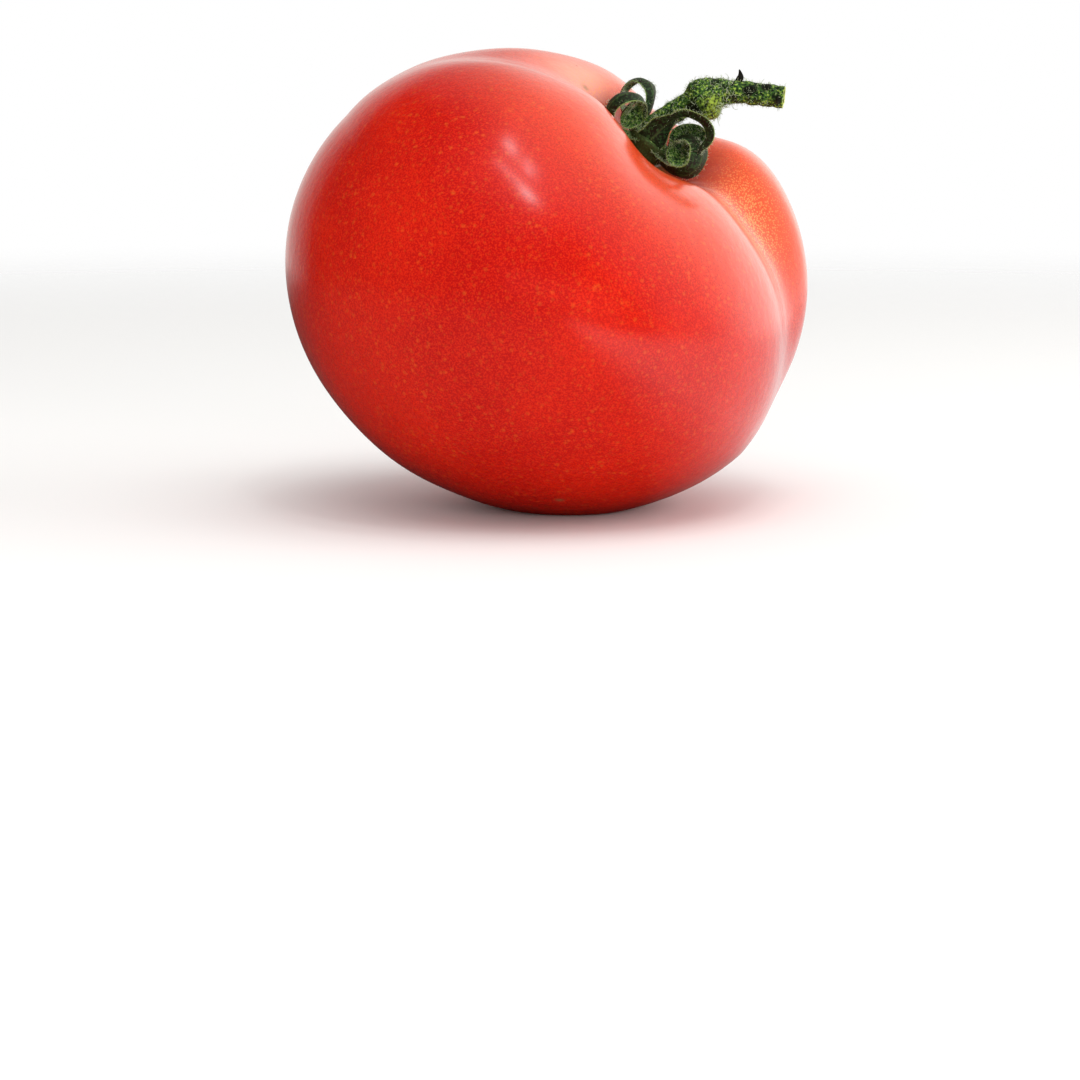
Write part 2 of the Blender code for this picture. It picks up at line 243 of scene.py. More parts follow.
# Bruises of the stalk: the share of its length, the side in degrees, and how far each reaches in both
BRUISES = ((0.86, -70, 0.04, 34), (0.93, -35, 0.025, 30), (0.985, -105, 0.016, 34), (0.46, -115, 0.06, 42))
SPUR_PLACE = 0.78
SPUR_RADIUS = 0.7 * MM
SPUR_LENGTH = 2.1 * MM
SPUR_SINK = 0.9 * MM
SPUR_LEAN = 0.75
SPUR_CURL = 1.2
SPUR_ROWS = 30
SPUR_COLUMNS = 18
SPUR_TIP = 0.12 * MM
SPUR_TAPER = 0.8
SPUR_FLATNESS = 0.6
SPUR_KNOB_SHARE = 0.25  # of its radius, by which it swells past its middle
SPUR_RIDGE_SHARE = 0.12

# The hairs: how far their roots and directions scatter, the range of each measure as a share of the usual
# one, and how much thinner they are at the tip
HAIR_SCATTER = 0.05 * MM
HAIR_LEAN = 0.45
HAIR_LENGTHS = (0.45, 1.5)
HAIR_RADII = (0.7, 1.3)
HAIR_TURNS = (0.3, 1.7)
HAIR_TAPER = 0.8
# The long curly hairs: how much longer than a usual one, how far they turn in radians, and in how many steps
CURLY_HAIR = {"longer": 3.2, "turn": 3.4, "steps": 12}

# The camera: the photograph's frame, and the pixel of it that the fruit's middle falls on
FRAME_PIXELS = 1080
CENTRE_PIXEL = (548, 282)
SENSOR = 36.0

# The floor: over which distances from the fruit it fades away, and on which side the skin mirrors it pale
FLOOR_FADE = (0.25, 0.9)
FLOOR_SIDES = 128
PALE_FLOOR_AZIMUTH = 100

# The light. Directions are an azimuth and an elevation in degrees: 0 is the camera's side, and 90 the right.
HIGH_LIGHT = 0.68
LOW_LIGHT = 0.35
# What the skin mirrors: each bright wall's middle, how near to it the glow starts, as a cosine, and its glow
WALLS = (
    ((122, 29), 0.35, 1.2),
    ((174, -8), 0.5, 1.15),
    ((129, 20), 0.55, 2.3),
)
# From one direction to another, the width, the power, and whether the skin mirrors it
PANELS = {
    "light_overhead": ((-20, 48), (110, 62), 0.8, 4.4, False),
    "light_front": ((-20, 9), (50, 9), 0.3, 3.7, False),
    "light_side": ((60, 20), (105, 20), 0.7, 3.0, False),
    "strip_back": ((24, 83), (31, 76.5), 0.05, 0.26, True),
    "strip_back_end": ((36.5, 71.5), (40, 69), 0.07, 0.16, True),
    "strip_front": ((-8, 73), (22, 58), 0.04, 0.3, True),
    "strip_front_end": ((15, 62), (23, 58), 0.06, 0.3, True),
}


def linear(hex_colour):
    """The linear colour, with a full alpha, of an sRGB hex colour."""
    parts = [int(hex_colour[at : at + 2], 16) / 255 for at in (1, 3, 5)]
    return (*(part / 12.92 if part <= 0.04045 else ((part + 0.055) / 1.055) ** 2.4 for part in parts), 1.0)


def colour_property(name, hex_colour, description):
    return FloatVectorProperty(
        name=name, description=description, default=linear(hex_colour), size=4, min=0, max=1, subtype="COLOR"
    )


class SkinSettings(bpy.types.PropertyGroup):
    """Sizes and colours of the fruit's skin."""

    rows: IntProperty(name="Rows", description="Rings from the base to the crown", default=250, min=40)
    columns: IntProperty(name="Columns", description="Points in each ring", default=380, min=40)
    deep_red: colour_property("Deep red", "#BC0800", "Ripe flesh seen through the skin")
    bright_red: colour_property("Bright red", "#CC1400", "Where the flesh is a little less ripe")
    shoulder_red: colour_property("Shoulder red", "#D84A1A", "Towards the stem end")
    # Partly the skin's own pale tan and partly a painted reflection of the room on the far shoulder
    pale: colour_property("Pale shoulder", "#E9A58C", "The pale patch beyond the left valley")
    golden: colour_property("Golden", "#EE8E4A", "Round the stem end and in the valley")
    speckle: colour_property("Speckle", "#E06A1C", "The fine dots under the wax")
    cork: colour_property("Cork", "#8A6238", "Scar tissue at the stem end and the base")
    speckle_spacing: FloatProperty(
        name="Speckle spacing", description="Distance between dots", default=1.6 * MM, unit="LENGTH"
    )
    roughness: FloatProperty(
        name="Roughness", description="Of the wax", default=0.32, min=0, max=1, subtype="FACTOR"
    )


class CalyxSettings(bpy.types.PropertyGroup):
    """Sizes and colours of the calyx."""

    thickness: FloatProperty(
        name="Thickness", description="Of a sepal at its midrib", default=0.5 * MM, unit="LENGTH"
    )
    # Deepened nearly to black with painted shade, as the outer faces lie in shade under the curls
    outer_green_and_shade: colour_property("Outer green", "#15220D", "The face that was outside in the bud")
    inner_green: colour_property("Inner green", "#426A2A", "The face that was inside in the bud")
    edge_green: colour_property("Edge green", "#93AB5C", "The thin margin and the midrib")
    dry_brown: colour_property("Dry brown", "#1C140A", "Tips and patches that have dried")


class StalkSettings(bpy.types.PropertyGroup):
    """Colours of the stalk."""

    green: colour_property("Green", "#33591B", "Most of the stalk")
    light_green: colour_property("Light green", "#9AB43E", "Patches of the knuckle and the rim of the cut")
    dark_green: colour_property("Dark green", "#0C1A06", "Furrows and bruises")
    pith: colour_property("Pith", "#B9B476", "The middle of the cut end")


class HairSettings(bpy.types.PropertyGroup):
    """Numbers and sizes of the fine hairs."""

    sepal_count: IntProperty(name="On each sepal", description="Hairs on a sepal", default=800, min=0)
    stalk_count: IntProperty(name="On the stalk", description="Hairs on the stalk", default=1800, min=0)
    curly_count: IntProperty(name="Long ones", description="Curly hairs on the stalk", default=130, min=0)
    length: FloatProperty(name="Length", description="Of a usual hair", default=0.5 * MM, unit="LENGTH")
    radius: FloatProperty(name="Radius", description="At a hair's root", default=0.03 * MM, unit="LENGTH")
    colour: colour_property("Colour", "#E6EFD0", "Of the hairs")
    seed: IntProperty(name="Seed", description="Of the hairs' places", default=7)


class StageSettings(bpy.types.PropertyGroup):
    """The floor, the light and the camera."""

    floor: colour_property("Floor", "#F2F1EF", "The pale floor")
    floor_dark: colour_property("Floor's dark side", "#3C3836", "What the skin mirrors of it in front")
    floor_radius: FloatProperty(name="Radius", description="To the floor's edge", default=1.6, unit="LENGTH")
    lens: FloatProperty(name="Lens", description="Focal length in millimetres", default=85.0, min=10)
    distance: FloatProperty(
        name="Distance", description="From the camera to the fruit's middle", default=0.465, unit="LENGTH"
    )
    elevation: FloatProperty(
        name="Elevation", description="Of the camera", default=math.radians(4), subtype="ANGLE"
    )


# Shapes as arrays


def smooth_step(value, low, high):
    """0 below low, 1 above high, and an even S between them."""
    share = np.clip((value - low) / (high - low), 0.0, 1.0)
    return share * share * (3.0 - 2.0 * share)


def bell(distance, width, power=2):
    """1 at the middle, falling off to nothing a little past the width."""
    return np.exp(-((np.abs(distance) / width) ** power))


def ring_swell(distance, reach):
    """0 at the core, 1 at the reach, and falling off beyond it."""
    share = (distance / reach) ** 2
    return share * np.exp(1.0 - share)


def waves(points, length, count, seed):
    """A gentle uneven swell about 0: the sum of sine waves of about that length in random directions."""
    draw = np.random.default_rng(seed)
    directions = draw.normal(size=(count, 3))
    directions /= np.linalg.norm(directions, axis=1)[:, None]
    numbers = math.tau / (length * draw.uniform(0.7, 1.5, count))
    phases = draw.uniform(0, math.tau, count)
    return np.sin((points @ directions.T) * numbers + phases).sum(axis=-1) / math.sqrt(count)


def crown_relief(x, y):
    """How far the cavity, ribs, valley and back shoulder move the top of the fruit up or down."""
    around = np.hypot(x, y)
    dish = -DISH_DEPTH * bell(around, DISH_RADIUS)
    pit = -PIT_DEPTH * bell(np.hypot(x - PIT_X, y), PIT_RADIUS, 4)
    ribs = -RIB_HEIGHT * np.cos(RIB_COUNT * np.arctan2(y, x)) * ring_swell(around, SHOULDER_RADIUS)
    valley_depth = np.where(x > 0, VALLEY_DEPTH_RIGHT, VALLEY_DEPTH_LEFT)
    valley = -valley_depth * ring_swell(x, VALLEY_REACH) * bell(y, VALLEY_HALF_WIDTH)
    lobe_half_width = np.where(y < LOBE_Y, LOBE_HALF_WIDTH_FRONT, LOBE_HALF_WIDTH_BACK)
    lobe = LOBE_HEIGHT * bell(x - LOBE_X, LOBE_HALF_LENGTH, 4) * bell(y - LOBE_Y, lobe_half_width)
    return dish + pit + ribs + valley + lobe


def fruit_surface(unit):
    """Points of the fruit's skin for points of a unit sphere: two half ellipsoids that meet at the equator.

    The upper one is higher at the back and carries the relief. The lower one is sheared to the left.
    """
    up = unit[..., 2]
    across = np.hypot(unit[..., 0], unit[..., 1])
    azimuth = np.arctan2(unit[..., 1], unit[..., 0])
    crown = CROWN_HEIGHT * (1.0 + CROWN_TIP * across * np.cos(azimuth - CROWN_TIP_AZIMUTH))
    x = EQUATOR_RADIUS * unit[..., 0]
    y = EQUATOR_RADIUS * unit[..., 1]
    z = np.where(up > 0, crown, BASE_DEPTH) * up
    z += crown_relief(x, y) * smooth_step(up, 0.0, RELIEF_FADE)
    z += SCAR_DEPTH * bell(np.hypot(x, y), SCAR_RADIUS) * (up < 0)
    x = x + BASE_SHEAR * np.minimum(z, 0.0)
    return np.stack([x, y, z], axis=-1)


def leaned(points):
    """Points of the fruit's own axes, moved to the way the fruit lies."""
    lean = np.array(Euler((LEAN_FRONT, LEAN_RIGHT, 0.0), "XYZ").to_matrix())
    return points @ lean.T + np.array([0.0, 0.0, CENTRE_HEIGHT])


def cavity_floor():
    """Height of the cavity's floor under the calyx, in the fruit's own axes."""
    return CROWN_HEIGHT + float(crown_relief(np.array(PIT_X), np.array(0.0)))


def cup_top():
    """Height of the calyx cup's top, where the stalk starts."""
    return cavity_floor() + 2 * TOUCH_GAP + CUP_HEIGHT


def keyed(keys, share):
    """Values at each share, straight between the keys."""
    places, values = zip(*keys)
    return np.interp(share, places, values)


def unit_vectors(vectors):
    return vectors / np.linalg.norm(vectors, axis=-1, keepdims=True)


def ring_normals(rings):
    """Unit normals of closed rings of points, from the differences to the neighbours."""
    along = np.gradient(rings, axis=0)
    around = np.roll(rings, -1, axis=1) - np.roll(rings, 1, axis=1)
    return unit_vectors(np.cross(around, along))


def sleeve(rings, ends, layers):
    """A closed body over rings of points, with a fan of triangles to a point at either end.

    rings is rows x columns x 3, and quads join neighbouring rings and wrap round. A layer holds a value for
    each point of the rings, and the ends take the mean of the ring beside them. The UV map runs along and
    around.
    """
    rows, columns = rings.shape[:2]
    points = np.vstack([rings.reshape(-1, 3), ends])
    row, column = (part.ravel() for part in np.indices((rows - 1, columns)))
    corner_rows = np.stack([row, row, row + 1, row + 1], axis=1)
    corner_columns = np.stack([column, column + 1, column + 1, column], axis=1)
    quads = corner_rows * columns + corner_columns % columns
    quad_uv = np.stack([corner_rows / (rows - 1), corner_columns / columns], axis=-1)
    around = np.arange(columns)
    after = around + 1
    fans, fan_uv = [], []
    for end, row, edge in ((0, 0, (after, around)), (1, rows - 1, (around, after))):
        tip = np.full(columns, rows * columns + end)
        fans.append(np.stack([tip, *(row * columns + part % columns for part in edge)], axis=1))
        turn = np.stack([around + 0.5, *edge], axis=1) / columns
        fan_uv.append(np.stack([np.full((columns, 3), float(end)), turn], axis=-1))
    kept = {}
    for name, values in layers.items():
        flat = values.reshape(rows * columns, 1)
        kept[name] = np.vstack([flat, flat[:columns].mean(0), flat[-columns:].mean(0)])
    return {
        "points": points,
        "quads": quads,
        "triangles": np.vstack(fans),
        "quad_uv": quad_uv,
        "triangle_uv": np.vstack(fan_uv),
        "layers": kept,
    }


def leaned_sleeve(rings, ends, layers):
    """A sleeve over rings of the fruit's own axes, moved to the way the fruit lies."""
    return sleeve(leaned(rings), leaned(ends), layers)


def faces_outwards(body):
    """True if the body's faces point out: their fans to the origin add up to a positive volume."""
    points = body["points"]
    quads = body["quads"]
    triangles = np.vstack([quads[:, [0, 1, 2]], quads[:, [0, 2, 3]], body["triangles"]])
    a, b, c = (points[triangles[:, corner]] for corner in range(3))
    return np.einsum("ij,ij->i", a, np.cross(b, c)).sum() > 0


def turned_out(body):
    """The body with its faces pointing out."""
    if faces_outwards(body):
        return body
    flipped = dict(body)
    for name in ("quads", "triangles", "quad_uv", "triangle_uv"):
        flipped[name] = body[name][:, ::-1]
    return flipped


def made_piece(name, bodies, material):
    """One object of closed bodies, smooth shaded, that rides on the fruit's body."""
    bodies = [turned_out(body) for body in bodies]
    starts = np.cumsum([0] + [len(body["points"]) for body in bodies[:-1]])
    points = np.vstack([body["points"] for body in bodies])
    quads = np.vstack([body["quads"] + start for body, start in zip(bodies, starts)])
    triangles = np.vstack([body["triangles"] + start for body, start in zip(bodies, starts)])
    mesh = bpy.data.meshes.new(name)
    mesh.from_pydata(points.tolist(), [], quads.tolist() + triangles.tolist())
    uv = [body[part].reshape(-1, 2) for part in ("quad_uv", "triangle_uv") for body in bodies]
    mesh.uv_layers.new(name="along_around").data.foreach_set("uv", np.vstack(uv).astype(np.float32).ravel())
    for layer in bodies[0]["layers"]:
        values = np.vstack([body["layers"][layer] for body in bodies]).astype(np.float32)
        mesh.attributes.new(layer, "FLOAT", "POINT").data.foreach_set("value", values.ravel())
    mesh.materials.append(material)
    mesh.shade_smooth()
    mesh.update()
    piece = bpy.data.objects.new(name, mesh)
    bpy.context.scene.collection.objects.link(piece)
    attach(piece, BODY)
    return piece


# The pieces' shapes


def skin_body(settings):
    """The fruit's skin: rings from the base to the crown, with low lumps, and pleats round the cavity.

    Below the surface it rests on, the skin is pressed flat: z becomes half of the sum of z and the root of
    z squared plus the softness squared.
    """
    polar = np.linspace(-math.pi / 2, math.pi / 2, settings.rows + 2)[1:-1, None]
    azimuth = np.arange(settings.columns)[None, :] * math.tau / settings.columns
    level = np.cos(polar)
    unit = np.stack([level * np.cos(azimuth), level * np.sin(azimuth), np.sin(polar) + 0 * azimuth], axis=-1)
    poles = np.array([[0.0, 0.0, -1.0], [0.0, 0.0, 1.0]])
    own = fruit_surface(unit)
    around = np.hypot(own[..., 0] - PIT_X, own[..., 1])
    top = smooth_step(unit[..., 2], *TOP_FADE)
    pleats = np.cos(PLEAT_COUNT * azimuth + 2.0 * np.sin(3 * azimuth))
    pleats = pleats * bell(around - PLEAT_RADIUS, PLEAT_WIDTH)
    rise = LUMP_HEIGHT * waves(own, LUMP_LENGTH, 7, 3) + PLEAT_HEIGHT * pleats * top
    shaped = own + unit * rise[..., None]
    world = leaned(shaped)
    world[..., 2] = (world[..., 2] + np.sqrt(world[..., 2] ** 2 + GROUND_SOFTNESS**2)) / 2
    golden = GOLDEN_SHARE * bell(np.hypot(own[..., 0], own[..., 1]) - GOLDEN_RADIUS, GOLDEN_WIDTH)
    golden = golden + sum(patch_share(own, patch) for patch in GOLDEN_PATCHES)
    cork = top * bell(around, CORK_RADIUS, 6)
    for *middle, reach in SCARS:
        away = np.linalg.norm(own - np.array(middle) * MM, axis=-1)
        cork = np.maximum(cork, 0.8 * bell(away, reach * MM))
    layers = {
        "height": own[..., 2],
        # Pale tan beyond the left valley, partly a painted reflection of the room
        "pale": patch_share(own, PALE_TAN_AND_SHEEN_PATCH) * top,
        "golden": np.clip(golden, 0, 1) * top,
        "cork": cork,
        # Painted shade round the calyx cup, in the cavity
        "cavity_shade": bell(around - CAVITY_SHADE_RADIUS, CAVITY_SHADE_WIDTH) * top,
        "shoulder": SPECKED_SHARE * bell(around - SPECKED_RADIUS, SPECKED_WIDTH) * top,
    }
    return sleeve(world, leaned(fruit_surface(poles)), layers)


def patch_share(own, patch):
    """How much of a patch's colour shows: a bell along x times a bell along y."""
    most, x, reach_x, y, reach_y = patch
    return most * bell(own[..., 0] - x * MM, reach_x * MM) * bell(own[..., 1] - y * MM, reach_y * MM)


def sepal_lines(sepal, azimuth, share):
    """The midrib's points, with the directions across the sepal and out of its inner face at each.

    The heading and the climb run straight between their keys. The points add up the steps between them.
    """
    climb = np.radians(keyed(sepal["climb"], share))
    heading = azimuth + np.radians(keyed(sepal["swing"], share))
    level = np.cos(climb)
    forward = np.stack([level * np.cos(heading), level * np.sin(heading), np.sin(climb)], axis=-1)
    side = np.stack([-np.sin(heading), np.cos(heading), 0 * heading], axis=-1)
    inner = np.cross(forward, side)
    twist = np.radians(keyed(sepal["twist"], share))[:, None]
    cos, sin = np.cos(twist), np.sin(twist)
    side, inner = side * cos + inner * sin, inner * cos - side * sin
    step = sepal["length"] * MM * np.diff(share)[:, None]
    moved = np.cumsum((forward[1:] + forward[:-1]) / 2 * step, axis=0)
    out = np.array([math.cos(azimuth), math.sin(azimuth), 0.0])
    root = np.array([PIT_X, 0.0, cup_top() - SEPAL_ROOT_DROP]) + SEPAL_ROOT * out
    return root + np.vstack([np.zeros(3), moved]), side, inner


def sepal_rings(index, thickness):
    """Rings round one sepal: a thin lens across, with raised, wavering margins and a midrib outside."""
    sepal = SEPALS[index]
    azimuth = FIRST_SEPAL_AZIMUTH + index * math.tau / len(SEPALS)
    share = np.linspace(0.0, 1.0, SEPAL_ROWS)
    path, side, inner = sepal_lines(sepal, azimuth, share)
    turn = np.arange(SEPAL_COLUMNS) * math.tau / SEPAL_COLUMNS
    across = np.cos(turn)[None, :]
    face = np.sin(turn)[None, :]
    along = share[:, None]
    outline = (1.0 - along ** sepal["blunt"]) ** SEPAL_TAPER
    half_width = sepal["width"] * MM / 2 * outline + SEPAL_TIP_HALF_WIDTH
    half_width = half_width * (1 + SWAY_SHARE * np.sin(along * SWAY_TURN + index * 2.1) * np.sign(across))
    wave = np.sin(along * MARGIN_WAVE_TURN + across * 1.2 + index * 1.7)
    waver = MARGIN_WAVE * across**2 * wave * (1 - along**4)
    gutter = SEPAL_GUTTER * across**2 + waver
    body = face * thickness / 2 * (1 - EDGE_THINNING * across**2)
    midrib = -MIDRIB_HEIGHT * bell(across, MIDRIB_HALF_WIDTH) * (face < 0) * (1 - along)
    rings = path[:, None] + side[:, None] * (across * half_width)[..., None]
    rings = rings + inner[:, None] * (gutter + body + midrib)[..., None]
    layers = {
        "along": along + 0 * across,
        "across": np.abs(across) + 0 * along,
        "inner": face * 0.5 + 0.5 + 0 * along,
    }
    ends = np.stack([path[0], path[-1] + (path[-1] - path[-2]) * 0.4])
    return rings, ends, layers


def cup_rings():
    """Rings of the cup that the sepals grow from: a profile turned round the core, and a little lobed."""
    place = np.arange(len(CUP_HEIGHTS))
    fine = np.linspace(0, place[-1], CUP_ROWS)
    height, radius = (MM * np.interp(fine, place, values) for values in (CUP_HEIGHTS, CUP_RADII))
    turn = np.arange(CUP_COLUMNS) * math.tau / CUP_COLUMNS
    lobes = 1 + CUP_LOBE_SHARE * np.cos(len(SEPALS) * (turn - FIRST_SEPAL_AZIMUTH))
    lobes = lobes + CUP_FLUTE_SHARE * np.cos(CUP_FLUTES * turn)
    rings = np.stack(
        [
            PIT_X + radius[:, None] * lobes * np.cos(turn),
            radius[:, None] * lobes * np.sin(turn),
            cup_top() + height[:, None] + 0 * turn,
        ],
        axis=-1,
    )
    ends = np.array([[PIT_X, 0, cup_top() + height[row]] for row in (0, -1)])
    plain = np.zeros(rings.shape[:2])
    inner = plain + smooth_step(height, 0, 0.6 * MM)[:, None]
    return rings, ends, {"along": plain, "across": plain, "inner": inner}


def stalk_line(share):
    """Points on a smooth curve through the stalk's route, and the directions to its side and up from it."""
    route = np.array(STALK_ROUTE) * MM + np.array([0.0, 0.0, cup_top() + TOUCH_GAP])
    padded = np.vstack([2 * route[0] - route[1], route, 2 * route[-1] - route[-2]])
    place = share * (len(route) - 1)
    span = np.minimum(place.astype(int), len(route) - 2)
    t = (place - span)[:, None]
    a, b, c, d = (padded[span + at] for at in range(4))
    square, cube = 2 * a - 5 * b + 4 * c - d, 3 * b - a - 3 * c + d
    points = 0.5 * (2 * b + (c - a) * t + square * t**2 + cube * t**3)
    forward = unit_vectors(np.gradient(points, axis=0))
    side = unit_vectors(np.cross(forward, np.array([0.0, 1.0, 0.0])))
    up = np.cross(side, forward)
    return points, forward, side, up


def stalk_radius(share):
    """The stalk's radius along its length: a foot that flares, a swollen knuckle, and an even shaft."""
    foot = FOOT_SWELL * bell(share, FOOT_SHARE)
    reach = np.where(share < KNUCKLE_PLACE, KNUCKLE_RISE, KNUCKLE_FADE)
    knuckle = KNUCKLE_SWELL * bell(share - KNUCKLE_PLACE, reach)
    return STALK_RADIUS + foot + knuckle


def stalk_rings():
    """Rings of the stalk: shallow ribs, fine lumps, a seam round the knuckle, and a dried cut end."""
    share = np.linspace(0.0, 1.0, STALK_ROWS)
    points, forward, side, up = stalk_line(share)
    turn = np.arange(STALK_COLUMNS)[None, :] * math.tau / STALK_COLUMNS
    along = share[:, None]
    out = side[:, None] * np.cos(turn)[..., None] + up[:, None] * np.sin(turn)[..., None]
    radius = stalk_radius(along)
    slant = SEAM_SLANT * np.cos(turn - FLANK_TURN)
    facing = np.clip(np.cos(turn - FLANK_TURN), 0, 1)
    flank = bell(along - FLANK_PLACE, FLANK_LENGTH) * facing
    radius = radius + FLANK_SWELL * flank
    seam = -SEAM_DEPTH * bell(along - SEAM_PLACE - slant, SEAM_WIDTH)
    ribs = STALK_RIB_HEIGHT * np.cos(STALK_RIBS * turn + 3 * along) * (1 - bell(along - KNUCKLE_PLACE, 0.1))
    rough = points[:, None] + out * radius[..., None]
    lumps = sum(height * waves(rough, length, 9, seed) for height, length, seed in STALK_LUMPS)
    rings = points[:, None] + out * (radius + seam + ribs + lumps)[..., None]
    bruise = sum(
        bell(along - place, reach) * bell((np.degrees(turn) - side_of + 180) % 360 - 180, width)
        for place, side_of, reach, width in BRUISES
    )
    end_radius = (radius + ribs + lumps)[-1]
    cut = []
    for size, rise in CUT_PROFILE[1:]:
        ragged = CUT_RAGGEDNESS * waves(out[-1] * size, 0.6, 6, 21)
        ring = points[-1] + out[-1] * (end_radius * size)[:, None]
        cut.append(ring + forward[-1] * (rise * MM + ragged)[:, None])
    rings = np.concatenate([rings, np.array(cut)])
    shape = (len(CUT_PROFILE) - 1, STALK_COLUMNS)
    sizes = np.array([size for size, _ in CUT_PROFILE[1:]])[:, None]
    layers = {
        "cut": np.concatenate([np.zeros((STALK_ROWS, STALK_COLUMNS)), (1 - sizes) + np.zeros(shape)]),
        "dry": np.zeros((STALK_ROWS + shape[0], STALK_COLUMNS)),
        "flank": np.concatenate([flank, np.zeros(shape)]),
        "bruise": np.concatenate([bruise, np.zeros(shape)]),
    }
    ends = np.stack([points[0], points[-1] - forward[-1] * PITH_DEPTH])
    return rings, ends, layers


def spur_rings():
    """Rings of the dried bract: a small flattened hook that leans off the stalk's upper side and curls back.

    Its middle line is an arc that starts straight out of the stalk and turns back towards the knuckle.
    """
    share = np.linspace(0, 1, 400)
    points, forward, _, _ = stalk_line(share)
    row = round(SPUR_PLACE * (len(share) - 1))
    outward = unit_vectors(np.cross(np.array([0.0, -1.0, 0.0]), forward[row]))
    outward = outward if outward[0] < 0 else -outward
    flat = np.cross(outward, forward[row])
    foot = points[row] + outward * (STALK_RADIUS - SPUR_SINK)
    rise = np.linspace(0, 1, SPUR_ROWS)[:, None]
    angle = SPUR_LEAN - SPUR_CURL * rise
    direction = outward * np.cos(angle) + forward[row] * np.sin(angle)
    step = (SPUR_LENGTH + SPUR_SINK) / (len(rise) - 1)
    middle = foot + np.vstack([np.zeros(3), np.cumsum((direction[1:] + direction[:-1]) / 2 * step, axis=0)])
    side = forward[row] * np.cos(angle) - outward * np.sin(angle)
    turn = np.arange(SPUR_COLUMNS)[None, :] * math.tau / SPUR_COLUMNS
    radius = SPUR_RADIUS * (1 - SPUR_TAPER * rise**1.6) * (1 + SPUR_KNOB_SHARE * bell(rise - 0.6, 0.15))
    radius = radius * (1 + SPUR_RIDGE_SHARE * np.cos(3 * turn + 9 * rise))
    rings = middle[:, None] + side[:, None] * (radius * np.cos(turn))[..., None]
    rings = rings + flat * (SPUR_FLATNESS * radius * np.sin(turn))[..., None]
    ends = np.stack([foot, middle[-1] + direction[-1] * SPUR_TIP])
    plain = np.zeros(rings.shape[:2])
    return rings, ends, {"cut": plain, "dry": plain + 1, "flank": plain, "bruise": plain}


def hair_body(roots, directions, lengths, radii, turns, steps, draw):
    """Three-sided tapering hairs. Each is an arc that leaves its root straight out and turns aside.

    At share t of a hair, its middle has gone length / turn times the sine of turn t along, and length / turn
    times one less the cosine of turn t aside.
    """
    count = len(roots)
    share = np.linspace(0, 1, steps + 1)[None, :]
    bend = unit_vectors(np.cross(directions, draw.normal(size=(count, 3))))
    across = np.cross(directions, bend)
    angle = turns[:, None] * share
    reach = (lengths / turns)[:, None]
    centres = roots[:, None] + directions[:, None] * (reach * np.sin(angle))[..., None]
    centres = centres + bend[:, None] * (reach * (1 - np.cos(angle)))[..., None]
    aside = bend[:, None] * np.cos(angle)[..., None] - directions[:, None] * np.sin(angle)[..., None]
    corner = np.arange(3) * math.tau / 3
    out = aside[:, :, None] * np.cos(corner)[:, None] + across[:, None, None] * np.sin(corner)[:, None]
    size = radii[:, None] * (1 - HAIR_TAPER * share**1.5)
    points = centres[:, :, None] + out * size[..., None, None]
    start = (np.arange(count) * (steps + 1) * 3)[:, None, None]
    row = (np.arange(steps) * 3)[None, :, None]
    side = np.arange(3)[None, None, :]
    after = (side + 1) % 3
    quads = np.stack(
        [start + row + side, start + row + after, start + row + 3 + after, start + row + 3 + side], axis=-1
    ).reshape(-1, 4)
    root = start[:, 0] + np.array([[2, 1, 0]])
    tip = start[:, 0] + steps * 3 + np.array([[0, 1, 2]])
    triangles = np.vstack([root, tip])
    return {
        "points": points.reshape(-1, 3),
        "quads": quads,
        "triangles": triangles,
        "quad_uv": np.zeros((len(quads), 4, 2)),
        "triangle_uv": np.zeros((len(triangles), 3, 2)),
        "layers": {},
    }


def scattered_hairs(rings, count, settings, draw, weight, longer=1.0, turn=0.7, steps=4):
    """Hairs at random points of the rings, more of them where the weight is higher."""
    normals = ring_normals(rings)
    centre = rings.mean(axis=1, keepdims=True)
    normals *= np.sign(np.einsum("ijk,ijk->ij", normals, rings - centre).sum())
    chance = np.broadcast_to(weight, rings.shape[:2]).ravel()
    at = draw.choice(chance.size, size=count, p=chance / chance.sum())
    roots = rings.reshape(-1, 3)[at] + draw.normal(size=(count, 3)) * HAIR_SCATTER
    directions = unit_vectors(normals.reshape(-1, 3)[at] + HAIR_LEAN * draw.normal(size=(count, 3)))
    lengths = settings.length * longer * draw.uniform(*HAIR_LENGTHS, count)
    radii = settings.radius * longer**0.6 * draw.uniform(*HAIR_RADII, count)
    turns = turn * draw.uniform(*HAIR_TURNS, count)
    return hair_body(roots, directions, lengths, radii, turns, steps, draw)


# Finishes


def feed(tree, made, inputs):
    """Links each input of a node that is given a socket, and sets any other."""
    for name, value in inputs.items():
        if isinstance(value, bpy.types.NodeSocket):
            tree.links.new(value, made.inputs[name])
        else:
            made.inputs[name].default_value = value


def node(tree, kind, inputs=None, **settings):
    """Adds a node with its settings, its links and its values."""
    made = tree.nodes.new("ShaderNode" + kind)
    for name, value in settings.items():
        setattr(made, name, value)
    feed(tree, made, inputs or {})
    return made


def new_material(name, *layers):
    """A node material, its tree and shader, its Object coordinates, and the values of its mesh's layers."""
    material = bpy.data.materials.new(name)
    material.use_nodes = True
    tree = material.node_tree
    place = node(tree, "TexCoord").outputs["Object"]
    values = [node(tree, "Attribute", attribute_name=layer).outputs["Fac"] for layer in layers]
    return material, tree, tree.nodes["Principled BSDF"], place, values


# Socket places of the Mix node when it mixes colours
SHARE, UNDER, OVER, MIXED = 0, 6, 7, 2


def painted(tree, base, layers):
    """A colour under layers of paint.

    A layer is a value, the value where the paint starts, the value where it is full, how much of it is laid
    on and its colour.
    """
    for value, start, full, strength, colour in layers:
        inputs = {"Value": value, "From Min": start, "From Max": full, "To Max": strength}
        share = node(tree, "MapRange", inputs, interpolation_type="SMOOTHSTEP").outputs["Result"]
        mix = node(tree, "Mix", {SHARE: share, UNDER: base, OVER: colour}, data_type="RGBA")
        base = mix.outputs[MIXED]
    return base


